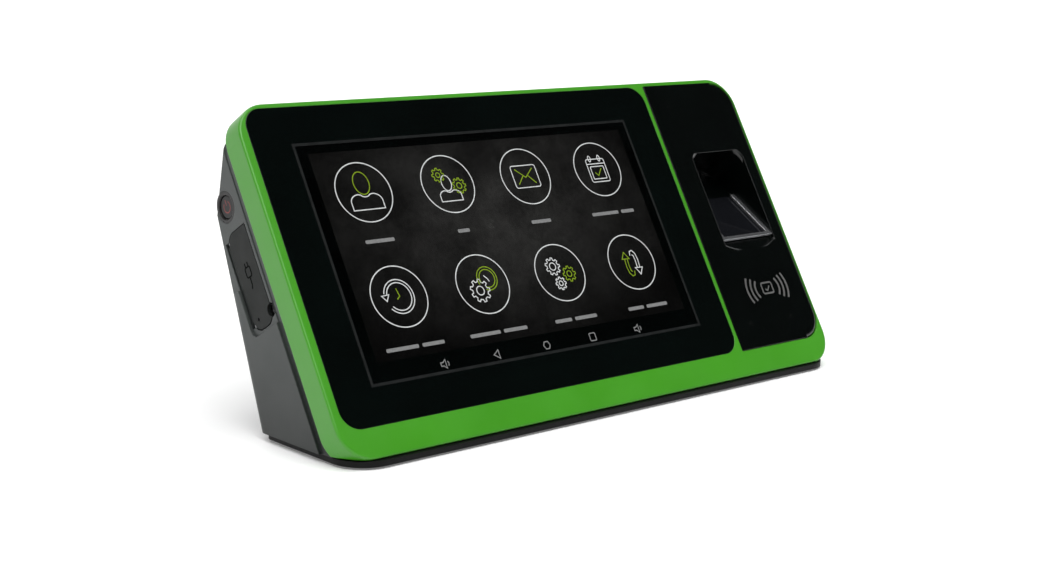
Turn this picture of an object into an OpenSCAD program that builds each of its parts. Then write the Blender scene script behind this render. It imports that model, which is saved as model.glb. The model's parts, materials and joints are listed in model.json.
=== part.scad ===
// Desktop fingerprint terminal: a touch display and a finger reader in a leaning face,
// a wedge-shaped housing behind it, a steel base plate, a power button and a hinged port door.
// Frame: X to the right, Y to the back, Z up; origin at the middle of the footprint, under the feet.
// Most parts are drawn in the face's own frame: x right, y up the face, z out of the face,
// with its origin at the centre of the display.

/* [Front face] */
// Overall width of the front frame
frame_w = 239; // [236:1:246]
// Distance from the display's centre to the frame's top edge
face_top = 57.8; // [57.5:0.1:60]
// Distance from the display's centre to the chin's lower edge
face_bottom = 65.7; // [65:0.1:68]
// Depth of the frame's side walls
frame_d = 9.5; // [9.5:0.1:10.5]
// Outer corner radius of the frame
frame_r = 12; // [11:0.5:13]
// Lean of the face back from vertical, in degrees
lean = 31; // [30:0.5:32]

/* [Display] */
// How far the display sits to the left of the middle
display_left = 24; // [23.5:0.1:24.5]
// Width of the cover glass
glass_w = 184.4; // [183:0.2:184.4]
// Height of the cover glass
glass_h = 111.3; // [110:0.1:111.5]
// Corner radius of the cover glass
glass_r = 7; // [5:0.5:9]
// Thickness of the cover glass
glass_t = 1.8; // [1.5:0.1:1.9]

/* [Finger module] */
// Left edge of the module cover, from the display's centre
module_x0 = 94; // [93.9:0.1:95.5]
// Gap between the module cover and the frame's right edge
module_lip = 1.0; // [0.9:0.1:1.4]
// How far the module cover stands proud of the frame
module_proud = 0.2; // [0.1:0.1:0.6]
// Width of the finger pocket
pocket_w = 29.4; // [29:0.1:30]
// Slope of the pocket's floor from the face, in degrees
pocket_slope = 26.8; // [26:0.1:28]
// Width of the sensor window
window_w = 26; // [25:0.1:26.2]
// Length of the sensor window along the slope
window_l = 23.5; // [22:0.5:24]

/* [Housing] */
// Depth of the whole terminal
body_d = 78; // [77:0.5:80]
// Depth of the base plate
base_d = 52; // [51:0.5:54]
// Thickness of the base plate
base_t = 2; // [1.5:0.1:2.2]
// Height of the crease in the back
crease_z = 72; // [70:0.5:74]
// Wall thickness of the rear housing
wall = 2.2; // [2:0.1:2.4]
// How far the housing's sides sit inside the frame's
side_inset = 0.9; // [0.7:0.1:1.1]

/* [Button and door] */
// Travel of the power button
button_travel = 0.8; // [0.5:0.1:0.9]
// Diameter of the power button's cap
button_d = 7.4; // [7:0.1:7.6]
// Length of the port door
door_l = 34; // [33:0.5:35]
// Width of the port door
door_w = 12; // [11.5:0.1:12.4]

/* [Hidden] */
$fn = 64;

// Feet and the joint between base plate and frame
foot_h = 0.8;
seam = 0.3;
base_top = foot_h + base_t;
frame_foot = base_top + seam;
base_lip = 1.3;
base_inset = 1.4;

// The face's frame in the terminal's frame
face_y0 = -body_d / 2 + base_lip + face_bottom * sin(lean);
face_z0 = frame_foot + face_bottom * cos(lean);
frame_x0 = display_left - frame_w / 2;
frame_x1 = display_left + frame_w / 2;
frame_mid_x = display_left;
frame_wall = 2;
frame_edge_r = 0.8;
ledge_back = 5;
glass_mid_y = 0.35;
glass_gap = 0.1;

// Finger module
module_x1 = frame_x1 - module_lip;
module_top = 56;
module_bottom = -55.6;
module_r = 10;
module_rim = 3;
cover_t = 2;
cover_edge_r = 1.6;
pocket_x = 121;
pocket_top = 26;
pocket_bottom = -16;
pocket_wall = 2.2;
reach = 20;
window_y = 0.1;
window_z = -7.3;
slope_drop = tan(pocket_slope);

// Housing
housing_half = frame_w / 2 - side_inset;
housing_top = face_top - 1.5;
housing_r = 11;
edge_r = 4;
upper_edge_r = 4.6;
neck_d = 4.5;
neck_inset = 1.1;
base_back = -body_d / 2 + base_d;
base_half = housing_half - base_inset;

// Screws: rear screw places on the face
rear_screw_x = [-89, 91, 136.5];
rear_screw_y = [-26, 44];
rear_seat_z = -14;
display_screw_x = 88;
display_screw_y = 12;
module_screw_x = [104, 128];
module_screw_y = 46;
base_screw_places = [[-113.6, -12], [-113.6, 6], [113.6, -12], [113.6, 6], [-31, 7.6], [31, 7.6]];
board_screw_x = 55;
board_screw_y = [-25, 29];
foot_places = [[-98, -31], [98, -31], [-98, 7], [98, 7]];

// Side: all depths are X places on the left side
recess_x = -housing_half + 0.8;
door_t = 1.4;
door_y = 5.6;
door_z1 = -15.6;
door_z0 = door_z1 - door_w;
door_x1 = recess_x + door_t;
door_r = 4.5;
hinge_sink = 0.9;
hinge_x = recess_x + hinge_sink;
hinge_z = door_z0 - 0.5;
knuckle_r = 0.85;
knuckle_l = 27;
groove_l = knuckle_l + 3.2;
groove_r = 1.6;
pin_r = 0.4;
notch_y = door_y - door_l / 2 + 3.8;
notch_z = door_z1 - 0.3;
bay_gap = 0.3;
pad_x = -112.6;
button_y = 31.6;
button_z = -22.8;
ring_r = 5.4;
switch_x = -110.2;
side_board_x = -106.7;

// Ports in the back
niche_w = 54;
niche_z0 = 8;
niche_z1 = 28;
niche_y = 11;
port_z = 7;

// ---- frames of reference ----

module on_face()
    translate([-display_left, face_y0, face_z0])
        rotate([90 - lean, 0, 0])
            children();

// A point of the face's frame, given as [y, z], as [Y, Z] of the terminal's frame
function face_point(y, z) =
    [face_y0 + y * sin(lean) - z * cos(lean), face_z0 + y * cos(lean) + z * sin(lean)];

// Frame along a line of the side profile: z up along it, y out of the housing, x as X
module along(p, q)
    translate([0, p.x, p.y])
        rotate([atan2(q.y - p.y, q.x - p.x) - 90, 0, 0])
            children();

// Extrudes a [y, z] outline of the face's frame along x
module across(x0, x1)
    translate([x0, 0, 0])
        rotate([90, 0, 90])
            linear_extrude(x1 - x0)
                children();

// ---- shared shapes ----

module rounded(x0, x1, y0, y1, r) {
    translate([x0 + r, y0])
        square([x1 - x0 - 2 * r, y1 - y0]);
    translate([x0, y0 + r])
        square([x1 - x0, y1 - y0 - 2 * r]);
    for (x = [x0 + r, x1 - r], y = [y0 + r, y1 - r])
        translate([x, y])
            circle(r);
}

// Square on the left, rounded on the right
module right_rounded(x0, x1, y0, y1, r) {
    translate([x0, y0])
        square([x1 - x0 - r, y1 - y0]);
    translate([x0, y0 + r])
        square([x1 - x0, y1 - y0 - 2 * r]);
    for (y = [y0 + r, y1 - r])
        translate([x1 - r, y])
            circle(r);
}

module slab(z0, z1)
    translate([0, 0, z0])
        linear_extrude(z1 - z0)
            children();

module box(low, high)
    translate(low)
        cube(high - low);

module disc(x, y, z0, z1, r)
    translate([x, y, z0])
        cylinder(r = r, h = z1 - z0);

// Everything below a level of the terminal's frame, seen from the face's frame
module below(z)
    rotate([lean - 90, 0, 0])
        translate([-200, -face_y0 - 100, -face_z0 + z - 100])
            cube([500, 200, 100]);

// Screw with a pan head: tip at z1, head under z0
module screw(x, y, z0, z1, r, head_r, head_h) {
    disc(x, y, z0, z1, r);
    difference() {
        disc(x, y, z0 - head_h, z0, head_r);
        for (a = [0, 90])
            translate([x, y, z0 - head_h])
                rotate([0, 0, a])
                    cube([head_r * 1.2, 0.6, head_h], center = true);
    }
}

// Flat cable through [u, v] points
module ribbon(points, t)
    polygon(concat(points, [for (i = [len(points) - 1 : -1 : 0]) points[i] + [0, t]]));

// Round wire through points of the terminal's frame
module wire(points, r) {
    for (i = [0 : len(points) - 2]) {
        d = points[i + 1] - points[i];
        translate(points[i])
            rotate([0, atan2(norm([d.x, d.y]), d.z), atan2(d.y, d.x)])
                cylinder(r = r, h = norm(d), $fn = 24);
        translate(points[i])
            sphere(r, $fn = 24);
    }
}

// ---- side profile of the housing ----

profile = [face_point((base_top - face_z0 + frame_d * sin(lean)) / cos(lean), -frame_d),
           [base_back, base_top],
           [body_d / 2, crease_z],
           face_point(housing_top, -frame_d)];

function inward(a, b) = let (u = (b - a) / norm(b - a)) [-u.y, u.x];

// The corner at b when the edges before and after it move inwards by d and e
function moved(a, b, c, d, e) =
    let (m = inward(a, b), n = inward(b, c), k = m * n)
    b + (d * (m - k * n) + e * (n - k * m)) / (1 - k * k);

// Profile with its base, lower back, upper back and front edges moved inwards by d
function inset_profile(d) =
    [for (i = [0 : 3])
        moved(profile[(i + 3) % 4], profile[i], profile[(i + 1) % 4], d[(i + 3) % 4], d[i])];

// Endless bar along a line of the profile, with its two outer edges rounded
module back_bar(p, q, side, inset, r)
    along(p, q)
        slab(-200, 200)
            rounded(-side, side, -160, -inset, r);

module housing_block(d, side, top, r)
    intersection() {
        translate([-side - 3, 0, 0])
            rotate([90, 0, 90])
                linear_extrude(2 * side + 6)
                    polygon(inset_profile(d - [0, 3, 3, 0]));
        back_bar(profile[1], profile[2], side, d[1], edge_r - d[1] / 2);
        back_bar(profile[2], profile[3], side, d[2], upper_edge_r - d[2] / 2);
        on_face()
            slab(-90, 5)
                rounded(display_left - side, display_left + side, -110, top, r);
    }

// ---- front ----

// Takes the sharp outer edge off the frame's front, all round but for the chin's cut foot
module frame_edge_cut() {
    x0 = frame_x0 + frame_r;
    x1 = frame_x1 - frame_r;
    y0 = frame_r - face_bottom;
    y1 = face_top - frame_r;
    for (c = [[x1, y1, 0], [x0, y1, 90], [x0, y0, 180], [x1, y0, 270]])
        translate([c.x, c.y, 0])
            rotate([0, 0, c.z])
                rotate_extrude(angle = 90, $fn = 96)
                    frame_edge_section(frame_r);
    for (e = [[frame_x1, y1, 0, y1 - y0], [x0, face_top, 90, x1 - x0],
              [frame_x0, y0, 180, y1 - y0], [x1, -face_bottom, 270, x1 - x0]])
        translate([e.x, e.y, 0])
            rotate([0, 0, e.z])
                rotate([90, 0, 0])
                    linear_extrude(e[3])
                        frame_edge_section(0);
}

module frame_edge_section(r)
    translate([r - frame_edge_r, -frame_edge_r])
        difference() {
            square(frame_edge_r + 0.4);
            circle(frame_edge_r);
        }

module front_frame() {
    color("yellowgreen")
        on_face()
            difference() {
                union() {
                    difference() {
                        slab(-frame_d, 0)
                            rounded(frame_x0, frame_x1, -face_bottom, face_top, frame_r);
                        difference() {
                            slab(-frame_d - 1, -ledge_back)
                                rounded(frame_x0 + frame_wall, frame_x1 - frame_wall,
                                        -face_bottom - 20, face_top - frame_wall, frame_r - frame_wall);
                            below(frame_foot + frame_wall);
                        }
                    }
                    for (x = rear_screw_x, y = rear_screw_y)
                        disc(x, y, -12, -4, 3);
                    for (x = [-display_screw_x, display_screw_x], y = [-display_screw_y, display_screw_y])
                        disc(x, y, -7.4, -4, 2.5);
                }
                below(frame_foot);
                frame_edge_cut();
                slab(-glass_t - 0.5, 1)
                    rounded(-glass_w / 2 - glass_gap, glass_w / 2 + glass_gap,
                            glass_mid_y - glass_h / 2 - glass_gap, glass_mid_y + glass_h / 2 + glass_gap,
                            glass_r + glass_gap);
                box([-84, -51.5, -20], [84, 51.5, 1]);
                slab(-module_rim - 0.2, 1)
                    right_rounded(module_x0 - glass_gap, module_x1 + glass_gap,
                                  module_bottom - glass_gap, module_top + glass_gap,
                                  module_r + glass_gap);
                box([pocket_x - pocket_w / 2 - pocket_wall - 0.3, pocket_bottom - 4, -20],
                    [pocket_x + pocket_w / 2 + pocket_wall + 0.3, pocket_top + 4, 0]);
                for (x = rear_screw_x, y = rear_screw_y)
                    disc(x, y, -13, -5.5, 1.25);
                for (x = [-display_screw_x, display_screw_x], y = [-display_screw_y, display_screw_y])
                    disc(x, y, -8, -3.4, 1);
                for (x = module_screw_x, y = [-module_screw_y, module_screw_y])
                    disc(x, y, -8, -2, 1.2);
            }
}

module touch_glass() {
    color("black")
        on_face()
            slab(-glass_t - 0.1, -0.1)
                rounded(-glass_w / 2, glass_w / 2, glass_mid_y - glass_h / 2, glass_mid_y + glass_h / 2,
                        glass_r);
}

module glass_gasket() {
    color("dimgray")
        on_face()
            difference() {
                slab(-glass_t - 0.4, -glass_t - 0.1)
                    rounded(-glass_w / 2 + 0.5, glass_w / 2 - 0.5,
                            glass_mid_y - glass_h / 2 + 0.5, glass_mid_y + glass_h / 2 - 0.5, glass_r);
                box([-85, -52.3, -5], [85, 52.3, 1]);
            }
}

module display_cell() {
    color("darkslategray")
        on_face()
            box([-82.4, -50, -4], [82.4, 50, -2.3]);
}

module display_backlight() {
    color("silver")
        on_face()
            difference() {
                box([-82.5, -50, -7.2], [82.5, 50, -4]);
                for (x = [-60 : 30 : 60])
                    box([x - 8, -20, -7.6], [x + 8, 20, -6.9]);
            }
}

module display_bracket() {
    color("lightgray")
        on_face() {
            difference() {
                box([-91, -48, -8.2], [91, 48, -7.4]);
                box([-50, -16, -9], [-10, 16, -7]);
                box([10, -16, -9], [50, 16, -7]);
                for (x = [-display_screw_x, display_screw_x], y = [-display_screw_y, display_screw_y])
                    disc(x, y, -9, -7, 1.2);
                for (x = rear_screw_x, y = rear_screw_y)
                    disc(x, y, -9, -7, 3.4);
            }
            for (x = [-board_screw_x, board_screw_x], y = board_screw_y)
                difference() {
                    disc(x, y, -12, -8, 2.4);
                    disc(x, y, -13, -9, 0.95);
                }
        }
}

module display_screws() {
    color("gainsboro")
        on_face()
            for (x = [-display_screw_x, display_screw_x], y = [-display_screw_y, display_screw_y])
                screw(x, y, -8.2, -3.6, 0.98, 2, 1.3);
}

// ---- finger module ----

// The pocket's mouth: straight sides, rounded top corners, a bulging lower rim, and a flaring lip
mouth_half = pocket_w / 2;
mouth_top_r = 6.5;
mouth_top_x = mouth_half - mouth_top_r;
mouth_top_y = pocket_top - mouth_top_r;
mouth_arc_r = 30;
lip_depth = 1.4;
lip_rise = [[0, 0], [0.35, 0.8], [1.4, lip_depth], [1.6, lip_depth + 0.3]];

// Half section of something of half width r that flares out towards the lip
module flared(r)
    translate([0, module_proud - lip_depth])
        polygon(concat([[0, -reach], [r, -reach]], [for (p = lip_rise) [r + p.x, p.y]],
                       [[0, lip_depth + 0.3]]));

module flared_round(r)
    rotate_extrude($fn = 128)
        flared(r);

module flared_bar(r, length)
    rotate([90, 0, 0])
        for (side = [0, 1])
            mirror([side, 0, 0])
                linear_extrude(length)
                    flared(r);

module mouth()
    intersection() {
        translate([pocket_x, pocket_bottom + mouth_arc_r, 0])
            flared_round(mouth_arc_r);
        union() {
            translate([pocket_x, mouth_top_y, 0])
                flared_bar(mouth_half, 40);
            translate([pocket_x - mouth_top_x, pocket_top - mouth_half, 0])
                rotate([0, 0, 90])
                    flared_bar(mouth_half, 2 * mouth_top_x);
            for (side = [-1, 1])
                translate([pocket_x + side * mouth_top_x, mouth_top_y, 0])
                    flared_round(mouth_top_r);
        }
    }

// Side view of the pocket: open front, upright top end, sloping floor, shallow scoop below
pocket_side = [[pocket_bottom, 3],
               [pocket_bottom, -0.4],
               [window_y - 10.8, window_z + 10.8 * slope_drop],
               [pocket_top - 1, window_z - (pocket_top - 1 - window_y) * slope_drop],
               [pocket_top, window_z - (pocket_top - 3 - window_y) * slope_drop],
               [pocket_top, 3]];
cup_side = [[pocket_bottom - pocket_wall, -0.5],
            [pocket_bottom - pocket_wall, -3.4],
            [window_y - 11.6, window_z + 11.6 * slope_drop - 2.6],
            [pocket_top - 1, window_z - (pocket_top - 1 - window_y) * slope_drop - 2],
            [pocket_top + pocket_wall, window_z - (pocket_top - 3 - window_y) * slope_drop - 1],
            [pocket_top + pocket_wall, -0.5]];

// Frame on the pocket's floor: origin at the window's centre, z out of the window
module on_window()
    on_face()
        translate([pocket_x, window_y, window_z])
            rotate([-pocket_slope, 0, 0])
                children();

// The cover's block, its top edge rounded off along the right side
module module_block() {
    corner_x = module_x1 - module_r;
    difference() {
        slab(-module_rim, module_proud)
            right_rounded(module_x0, module_x1, module_bottom, module_top, module_r);
        for (c = [[module_top - module_r, 0], [module_bottom + module_r, -90]])
            translate([corner_x, c.x, 0])
                rotate([0, 0, c.y])
                    rotate_extrude(angle = 90, $fn = 96)
                        edge_section(module_r);
        translate([corner_x, module_top - module_r, 0])
            rotate([90, 0, 0])
                linear_extrude(module_top - module_bottom - 2 * module_r)
                    edge_section(module_r);
    }
}

module edge_section(r)
    translate([r - cover_edge_r, module_proud - cover_edge_r])
        difference() {
            square(cover_edge_r + 0.4);
            circle(cover_edge_r);
        }

module module_cover() {
    color("black")
        difference() {
            on_face()
                difference() {
                    union() {
                        module_block();
                        across(pocket_x - pocket_w / 2 - pocket_wall, pocket_x + pocket_w / 2 + pocket_wall)
                            polygon(cup_side);
                    }
                    difference() {
                        slab(-module_rim - 0.1, module_proud - cover_t)
                            right_rounded(module_x0 + 1.6, module_x1 - 1.6, module_bottom + 1.6,
                                          module_top - 1.6, module_r - 1.6);
                        across(pocket_x - pocket_w / 2 - pocket_wall,
                               pocket_x + pocket_w / 2 + pocket_wall)
                            polygon(cup_side);
                        for (x = module_screw_x, y = [-module_screw_y, module_screw_y])
                            disc(x, y, -module_rim - 1, 0, 2.4);
                    }
                    intersection() {
                        across(pocket_x - pocket_w / 2, pocket_x + pocket_w / 2)
                            polygon(pocket_side);
                        mouth();
                    }
                    for (x = module_screw_x, y = [-module_screw_y, module_screw_y])
                        disc(x, y, -module_rim - 1, 0, 0.85);
                }
            on_window()
                box([-window_w / 2 - 0.2, -window_l / 2 - 0.2, -9], [window_w / 2 + 0.2, window_l / 2 + 0.2, 4]);
        }
}

module module_screws() {
    color("gainsboro")
        on_face()
            for (x = module_screw_x, y = [-module_screw_y, module_screw_y])
                screw(x, y, -ledge_back, -0.4, 0.83, 1.8, 1.2);
}

module sensor_window() {
    color("midnightblue")
        on_window()
            box([-window_w / 2, -window_l / 2, -1.6], [window_w / 2, window_l / 2, 0.4]);
}

// Bright frame on three sides of the window; it stands above the window as two rails and a sill
module sensor_bezel() {
    color("lightgray")
        on_window()
            difference() {
                box([-pocket_w / 2 + 0.1, -window_l / 2 - 1.4, 0.5], [pocket_w / 2 - 0.1, window_l / 2, 1.5]);
                box([-window_w / 2 + 0.6, -window_l / 2 + 0.2, 0], [window_w / 2 - 0.6, window_l / 2 + 1, 4]);
            }
}

module sensor_prism() {
    color("aliceblue")
        on_window()
            rotate([90, 0, 90])
                translate([0, 0, -window_w / 2 + 1.5])
                    linear_extrude(window_w - 3)
                        polygon([[-10.5, -1.7], [10.5, -1.7], [10.5, -4], [-2, -12], [-10.5, -12]]);
}

module sensor_housing() {
    color("dimgray")
        on_window()
            difference() {
                box([-window_w / 2 - 0.1, -window_l / 2 - 0.1, -18], [window_w / 2 + 0.1, window_l / 2 + 0.1, -1.7]);
                box([-window_w / 2 + 1.3, -10.7, -12.2], [window_w / 2 - 1.3, 10.7, 0]);
                disc(2, 4, -19, -12, 3.5);
            }
}

module sensor_board() {
    color("darkgreen")
        on_window() {
            box([-window_w / 2 - 1, -window_l / 2, -19.6], [window_w / 2 + 1, window_l / 2, -18]);
            disc(2, 4, -18, -13.5, 3.2);
            box([-10, -9, -21], [2, -3, -19.6]);
        }
}

module card_antenna() {
    color("seagreen")
        on_face()
            difference() {
                box([100, -42, -2.8], [138, -19, -1.8]);
                box([104, -38, -3], [134, -23, -2.5]);
            }
}

// ---- housing ----

// Sunken field round the button and the door
module side_recess()
    into_side(-housing_half - 1, recess_x)
        union() {
            rounded(door_y - door_l / 2 - 1.3, door_y + door_l / 2, door_z0 - 1.9, door_z1 + 1.3, 3.2);
            translate([door_y - door_l / 2 - 1.3, door_z1 - 6])
                square([90, 12]);
            translate([4.4, -70])
                square([70, 66]);
        }

module grille()
    for (i = [-4 : 4], j = [0 : 2])
        translate([58 + i * 4, -5, 23 + j * 8])
            rotate([-90, 0, 0])
                linear_extrude(10)
                    union() {
                        square([1.6, 4], center = true);
                        for (s = [-2, 2])
                            translate([0, s])
                                circle(0.8, $fn = 24);
                    }

module vents()
    for (i = [-7 : 7])
        translate([i * 8 - 30, -6, 14])
            box([-2, 0, -0.8], [2, 12, 0.8]);

// Hollow block with its screw posts, side pad and port niche
module housing_shell() {
    difference() {
        housing_block([0, 0, 0, 0], housing_half, housing_top, housing_r);
        housing_block([-10, wall, wall, -10], housing_half - wall, housing_top - wall,
                      housing_r - wall);
    }
    intersection() {
        housing_block([0, 0.5, 0.5, 0], housing_half - 0.5, housing_top - 0.5, housing_r - 0.5);
        union() {
            on_face() {
                for (x = rear_screw_x, y = rear_screw_y)
                    disc(x, y, -80, -12.1, 4.8);
                translate([display_left, 0, 0])
                    box([-housing_half, -16, -32], [pad_x, 38, -14]);
            }
            for (p = base_screw_places)
                disc(p.x, p.y, base_top, 14, 3.2);
            box([-niche_w / 2 - 2, niche_y - 2, base_top + 2],
                [niche_w / 2 + 2, body_d, niche_z1 + 2]);
        }
    }
}

// Groove behind the frame
module neck_cut()
    on_face()
        difference() {
            slab(-frame_d - neck_d, 0)
                translate([-300, -300])
                    square(600);
            slab(-frame_d - neck_d - 1, 1)
                rounded(display_left - housing_half + neck_inset, display_left + housing_half - neck_inset,
                        -110, housing_top - neck_inset, housing_r - neck_inset);
        }

// Door's outline grown by g, as [y, z]
module door_outline(g)
    union() {
        rounded(door_y - door_l / 2 - g, door_y + door_l / 2 + g, door_z0 - g, door_z1 + g, door_r);
        translate([door_y + door_l / 2 + g - door_r, door_z1 + g - door_r])
            square(door_r);
    }

// Extrudes a [y, z] outline of the face's frame into the left side, from x0 in to x1
module into_side(x0, x1)
    on_side()
        across(x0, x1)
            children();

// Bay for the door with its hinge groove, pin holes and scoop, and the holes behind it
module side_cuts() {
    into_side(-130, door_x1 + 0.4)
        door_outline(bay_gap);
    on_hinge(groove_l)
        cylinder(r = groove_r, h = groove_l);
    on_hinge(groove_l + 3)
        cylinder(r = pin_r + 0.02, h = groove_l + 3);
    on_side() {
        translate([recess_x, notch_y, notch_z])
            rotate([0, 90, 0])
                translate([0, 0, -1])
                    cylinder(r = 2.4, h = 2.4);
        box([-120, -8.8, -24.4], [-100, 6.8, -17]);
        box([-120, 10.5, -23], [-100, 19, -18.8]);
        translate([-140, button_y, button_z])
            rotate([0, 90, 0])
                cylinder(r = ring_r, h = 40);
    }
}

module screw_cuts() {
    on_face()
        for (x = rear_screw_x, y = rear_screw_y) {
            disc(x, y, -90, rear_seat_z, 3.2);
            disc(x, y, rear_seat_z - 1, 0, 1.65);
        }
    for (p = base_screw_places)
        disc(p.x, p.y, 0, 12, 1.25);
}

module port_cuts() {
    box([-niche_w / 2, niche_y, niche_z0], [niche_w / 2, body_d, niche_z1]);
    box([-20.2, niche_y - 5, port_z - 3], [-3.8, niche_y + 5, port_z + 13.8]);
    box([7.8, niche_y - 5, port_z - 3], [17.2, niche_y + 5, port_z + 11.3]);
}

module rear_housing() {
    color([0.16, 0.17, 0.17])
        difference() {
            difference() {
                housing_shell();
                neck_cut();
                side_recess();
            }
            side_cuts();
            screw_cuts();
            port_cuts();
            along(profile[1], profile[2])
                grille();
            along(profile[2], profile[3])
                vents();
        }
}

module base_plate() {
    color([0.1, 0.1, 0.1])
        difference() {
            slab(foot_h, base_top)
                union() {
                    rounded(-base_half, base_half, -body_d / 2, base_back - 8, 12);
                    rounded(-base_half, base_half, -body_d / 2 + 20, base_back - 1.6, edge_r);
                }
            for (p = base_screw_places) {
                disc(p.x, p.y, 0, 10, 1.6);
                disc(p.x, p.y, 0, foot_h + 1, 3.1);
            }
            for (p = foot_places)
                foot_shape(p, 0, foot_h + 0.5, 4.1);
        }
}

module foot_shape(p, z0, z1, r)
    slab(z0, z1)
        union() {
            translate([p.x, p.y])
                square([14, 2 * r], center = true);
            for (s = [-7, 7])
                translate([p.x + s, p.y])
                    circle(r);
        }

module rubber_feet() {
    color("black")
        for (p = foot_places)
            foot_shape(p, 0, foot_h + 0.5, 4);
}

module base_screws() {
    color("silver")
        for (p = base_screw_places)
            screw(p.x, p.y, foot_h + 1, 10, 1.2, 2.9, 0.9);
}

module rear_screws() {
    color("silver")
        on_face()
            for (x = rear_screw_x, y = rear_screw_y)
                screw(x, y, rear_seat_z, -6.5, 1.2, 2.9, 2);
}

// ---- boards and power ----

module main_board() {
    color("darkgreen")
        on_face()
            difference() {
                union() {
                    box([-60, -30, -13.6], [60, 34, -12]);
                    box([-20, -28, -15.6], [12, -23, -13.6]);
                    box([50, -6, -16.6], [58, 10, -13.6]);
                    box([-56, -20, -19.6], [-50, -8, -13.6]);
                    for (i = [0 : 4])
                        disc(22 + i * 5, 27, -17, -13.6, 2);
                    box([20, 4, -15.2], [34, 18, -13.6]);
                    box([26, -24, -16], [44, -17, -13.6]);
                }
                for (x = [-board_screw_x, board_screw_x], y = board_screw_y)
                    disc(x, y, -14, -11, 1.1);
            }
}

module board_screws() {
    color("gainsboro")
        on_face()
            for (x = [-board_screw_x, board_screw_x], y = board_screw_y)
                screw(x, y, -13.6, -9.4, 0.93, 2, 1.3);
}

module processor_shield() {
    color("silver")
        on_face()
            difference() {
                box([-44, -14, -16.6], [6, 24, -13.6]);
                box([-43.7, -13.7, -16.3], [5.7, 23.7, -13]);
                for (i = [0 : 5], j = [0 : 3])
                    disc(-36 + i * 7, -6 + j * 7, -17, -16, 0.9);
            }
}

module clock_battery() {
    color("silver")
        on_face() {
            disc(38, -6, -17.2, -13.6, 6.2);
            disc(38, -6, -17.5, -17.2, 4.8);
        }
}

module battery_pack() {
    color("steelblue") {
        difference() {
            box([-104, -20, base_top + 0.4], [-40, 8, base_top + 7.4]);
            for (y = [-20, 8])
                translate([-105, y, base_top + 3.9])
                    rotate([0, 90, 0])
                        difference() {
                            translate([-5, -5, 0])
                                cube([10, 10, 70]);
                            translate([0, y < 0 ? 3.5 : -3.5, -1])
                                cylinder(r = 3.5, h = 72);
                            translate([-6, y < 0 ? 3.5 : -10, -1])
                                cube([12, 6.5, 72]);
                        }
        }
        box([-104, -20 + 3.5, base_top], [-40, 4.5, base_top + 0.4]);
    }
}

module battery_cable() {
    color("firebrick")
        for (k = [0, 1])
            wire([[-39.2, -10 + 3 * k, 6.8], [-36.5, -10 + 3 * k, 8], [-36.5, -7 + 3 * k, 24],
                  [-42, 1 + 3 * k, 29], [-74, 6 + 2.2 * k, 35.4]], 0.7);
}

module port_board() {
    color("darkgreen")
        difference() {
            box([-26, -13, port_z - 1.6], [26, 8.8, port_z]);
            for (s = [-1, 1])
                disc(s * 23, -9, 0, 10, 1.2);
        }
}

module ethernet_jack() {
    color("silver")
        difference() {
            box([-20, -10, port_z], [-4, niche_y - 0.1, port_z + 13.5]);
            box([-17.9, 0, port_z + 2.2], [-6.1, niche_y + 1, port_z + 9.4]);
            box([-15, 1, port_z + 9], [-9, niche_y + 1, port_z + 11.4]);
        }
}

module power_jack() {
    color("black") {
        difference() {
            box([8, -3, port_z], [17, niche_y - 0.1, port_z + 11]);
            translate([12.5, 2, port_z + 6])
                rotate([-90, 0, 0])
                    cylinder(r = 2.9, h = 20);
        }
        translate([12.5, 1.5, port_z + 6])
            rotate([-90, 0, 0])
                cylinder(r = 0.9, h = 8);
    }
}

module speaker() {
    color("darkgray")
        along(profile[1], profile[2])
            difference() {
                translate([58, -wall - 0.4, 33])
                    rotate([90, 0, 0])
                        union() {
                            slab(0, 2)
                                rounded(-20, 20, -12, 12, 5);
                            slab(2, 6.5)
                                rounded(-13, 13, -9, 9, 6);
                        }
                translate([58, -wall - 0.3, 33])
                    rotate([90, 0, 0])
                        slab(-1, 1)
                            rounded(-17, 17, -9.5, 9.5, 5);
            }
}

module speaker_mesh() {
    color("dimgray")
        along(profile[1], profile[2])
            translate([58, -wall, 33])
                rotate([90, 0, 0])
                    slab(0, 0.4)
                        rounded(-20, 20, -12, 12, 5);
}

module wifi_antenna() {
    color("goldenrod")
        along(profile[2], profile[3])
            translate([45, -wall - 0.5, 13])
                box([-14, 0, -3.5], [14, 0.5, 3.5]);
}

module display_cable() {
    color("peru")
        on_face()
            across(-18, 10)
                ribbon([[-40, -8.6], [-34, -9.6], [-32, -11], [-31.2, -14], [-29.6, -15.4], [-28, -15.4]], 0.4);
}

module sensor_cable() {
    color("peru")
        on_face()
            translate([0, -6, 0])
                rotate([90, 0, 0])
                    linear_extrude(8)
                        ribbon([[58, -15.6], [70, -15.6], [84, -17], [100, -26], [106.6, -29.4]], 0.4);
}

// ---- side: button, ports and door ----

module on_side()
    on_face()
        translate([display_left, 0, 0])
            children();

module side_board() {
    color("darkgreen")
        on_side()
            across(side_board_x, side_board_x + 1.6)
                polygon([[-13, -16], [36, -16], [36, -20], [33, -24.5], [28, -27], [-13, -27]]);
}

module usb_socket() {
    color("silver")
        on_side()
            difference() {
                box([door_x1 + 0.5, -8.2, -24], [side_board_x, 6.2, -17.4]);
                difference() {
                    box([door_x1, -7.5, -23.3], [side_board_x - 1, 5.5, -18.1]);
                    box([door_x1 + 1.4, -6.6, -21.8], [side_board_x, 4.6, -19.8]);
                }
            }
}

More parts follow.
